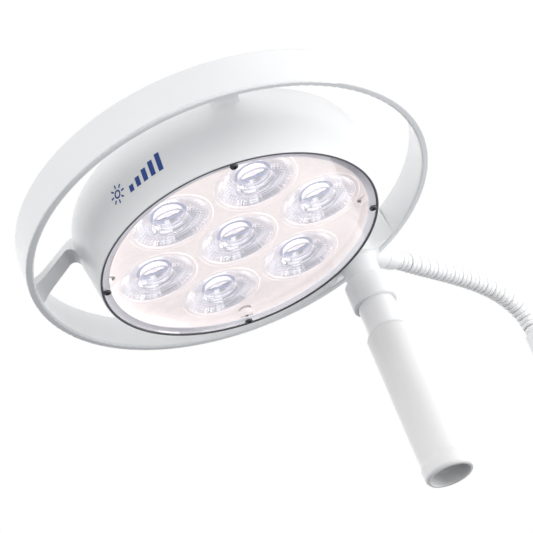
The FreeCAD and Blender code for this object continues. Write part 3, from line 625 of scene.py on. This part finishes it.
def build_hub():
    """Hub block, with its boss drawn in above the handle's collar."""
    bm = bmesh.new()
    bm.from_mesh(frame["nodes"]["hub_body"].data)
    for row in BOSS_ROWS:
        everything = bm.verts[:] + bm.edges[:] + bm.faces[:]
        bmesh.ops.bisect_plane(bm, geom=everything, plane_co=LAMP + Vector((0, 0, row * MM)),
                               plane_no=(0, 0, 1))
    for vert in bm.verts:
        place = (vert.co - LAMP) / MM
        reach = Vector((place.x - HANDLE_X, place.y))
        if BOSS_LIMIT_R[0] < reach.length < BOSS_LIMIT_R[1] and place.z < BOSS_BLEND_Z[1]:
            share = max(0.0, (place.z - BOSS_BLEND_Z[0]) / (BOSS_BLEND_Z[1] - BOSS_BLEND_Z[0]))
            scale = BOSS_SCALE + (1 - BOSS_SCALE) * share ** 2
            vert.co.x = LAMP.x + (HANDLE_X + reach.x * scale) * MM
            vert.co.y = LAMP.y + reach.y * scale * MM
    hub = finish_mesh("hub_block", bm, angle=30)
    hub.data.materials.clear()
    hub.data.materials.append(MATERIALS["white_shell"])
    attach(hub, "head")
    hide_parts("hub_body")


# ---- stage ----
CAMERA_FROM_LAMP = Vector((-0.7246, -0.5213, -0.5592))
CAMERA_RIGHT = Vector((0.69391, -0.63795, -0.33396))
CAMERA_UP = Vector((-0.16587, -0.59293, 0.78799))
CAMERA_BACK = Vector((-0.70071, -0.49139, -0.51725))
LENS_MM = 105.0
SENSOR_MM = 36
NEAREST = 0.05

# World tones, and heights from 0 straight down over 0.5 at the horizon to 1 straight up.
GROUND_LIGHT, HORIZON_LIGHT, ZENITH_LIGHT = (0.22, 0.23, 0.27), (0.98, 0.98, 0.98), (0.42, 0.42, 0.43)
GROUND_END, HORIZON_START, HORIZON_END, ZENITH_START = 0.2, 0.55, 0.70, 0.90
WORLD_STRENGTH = 1.6

FLOOR_Z = -1150
FLOOR_RADII = (0, 3000, 6000)
FLOOR_SEGMENTS = 64
FLOOR_BOUNCE = (0.25, 0.255, 0.275)

STAGE_MIDDLE = LAMP + Vector((0.05, 0, 0))
KEY_AWAY, KEY_SIZE, KEY_WATTS = Vector((0.90, -1.02, -0.60)), 0.9, 13
FILL_AWAY, FILL_SIZE, FILL_WATTS = Vector((-0.38, -0.95, -0.75)), 1.0, 3.2


def add_camera():
    """Camera of the main view."""
    data = bpy.data.cameras.new("camera")
    data.sensor_width = SENSOR_MM
    data.lens = LENS_MM
    data.clip_start = NEAREST
    camera = link("camera", data)
    turn = Matrix((CAMERA_RIGHT, CAMERA_UP, CAMERA_BACK)).transposed().to_4x4()
    camera.matrix_world = Matrix.Translation(LAMP + CAMERA_FROM_LAMP) @ turn
    bpy.context.scene.camera = camera


def add_world():
    """Even white to the eye; as a light, brightest above the horizon and dim and cool below."""
    world = bpy.data.worlds.new("studio")
    world.use_nodes = True
    tree = world.node_tree
    background = tree.nodes["Background"]
    place = tree.nodes.new("ShaderNodeTexCoord")
    split = tree.nodes.new("ShaderNodeSeparateXYZ")
    tree.links.new(place.outputs["Generated"], split.inputs[0])
    height = tree.nodes.new("ShaderNodeMapRange")
    height.inputs["From Min"].default_value = -1.0
    tree.links.new(split.outputs["Z"], height.inputs["Value"])
    tone = ramp(tree, height.outputs[0], GROUND_LIGHT, HORIZON_LIGHT, GROUND_END, HORIZON_START)
    stops = tone.node.color_ramp.elements
    stops.new(HORIZON_END).color = (*HORIZON_LIGHT, 1)
    stops.new(ZENITH_START).color = (*ZENITH_LIGHT, 1)
    tree.links.new(tone, background.inputs["Color"])
    background.inputs["Strength"].default_value = WORLD_STRENGTH
    seen = tree.nodes.new("ShaderNodeBackground")
    seen.inputs["Color"].default_value = (1, 1, 1, 1)
    seen.inputs["Strength"].default_value = 1.0
    mix = tree.nodes.new("ShaderNodeMixShader")
    path = tree.nodes.new("ShaderNodeLightPath")
    tree.links.new(path.outputs["Is Camera Ray"], mix.inputs["Fac"])
    tree.links.new(background.outputs[0], mix.inputs[1])
    tree.links.new(seen.outputs[0], mix.inputs[2])
    tree.links.new(mix.outputs[0], tree.nodes["World Output"].inputs["Surface"])
    bpy.context.scene.world = world


def add_area(name, away, size, power):
    """Round soft light that points at the middle of the stage."""
    data = bpy.data.lights.new(name, "AREA")
    data.shape = "DISK"
    data.size = size
    data.energy = power
    start = STAGE_MIDDLE + away
    link(name, data).matrix_world = aim(start, start - STAGE_MIDDLE)


def add_floor():
    """Wide pale floor below the light, which throws less light back than it shows."""
    bm = bmesh.new()
    rings = [(r, FLOOR_Z) for r in FLOOR_RADII]
    lathe_mesh(bm, rings, False, FLOOR_SEGMENTS, Matrix.Translation(Vector((LAMP.x, 0, 0))))
    floor = finish_mesh("floor", bm)
    material = moulded("pale_floor", (0.60, 0.61, 0.64), 0.7)
    tree = material.node_tree
    bounce = tree.nodes.new("ShaderNodeBsdfDiffuse")
    bounce.inputs["Color"].default_value = (*FLOOR_BOUNCE, 1)
    path = tree.nodes.new("ShaderNodeLightPath")
    mix = tree.nodes.new("ShaderNodeMixShader")
    tree.links.new(path.outputs["Is Camera Ray"], mix.inputs["Fac"])
    tree.links.new(bounce.outputs[0], mix.inputs[1])
    tree.links.new(tree.nodes["Principled BSDF"].outputs[0], mix.inputs[2])
    tree.links.new(mix.outputs[0], tree.nodes["Material Output"].inputs["Surface"])
    floor.data.materials.append(material)


add_camera()
add_world()
add_floor()
add_area("key", KEY_AWAY, KEY_SIZE, KEY_WATTS)
add_area("fill", FILL_AWAY, FILL_SIZE, FILL_WATTS)
bpy.context.scene.view_settings.view_transform = "Standard"
dress_cad()
lit(MATERIALS["emitter"], (1.0, 0.95, 0.88), 9.0)
# Painted glow on the tray, which is no lamp, for LED light scattered round it.
lit(MATERIALS["tray"], (1.0, 0.93, 0.92), 0.45)
# Painted glow on the lens flanges, which are no lamp.
lit(RIM, (1.0, 0.94, 0.94), 0.40)
# Painted bluish glow on the shade band at the lenses' back edge.
lit(SEAT_SHADE_AND_GLOW, (0.54, 0.59, 0.76), 0.40)
# Painted glow on the window's band, stronger towards the hub.
edge_lit(MATERIALS["gasket"], (0.10, 0.095, 0.11), (0.46, 0.46, 0.48))
# Painted glow on the LED boards, which are no lamp.
lit(MATERIALS["board"], (1.0, 0.95, 0.94), 0.9)
build_lenses()
build_tray()
build_gasket()
build_mark()
build_arm()
build_spring()
build_hub()
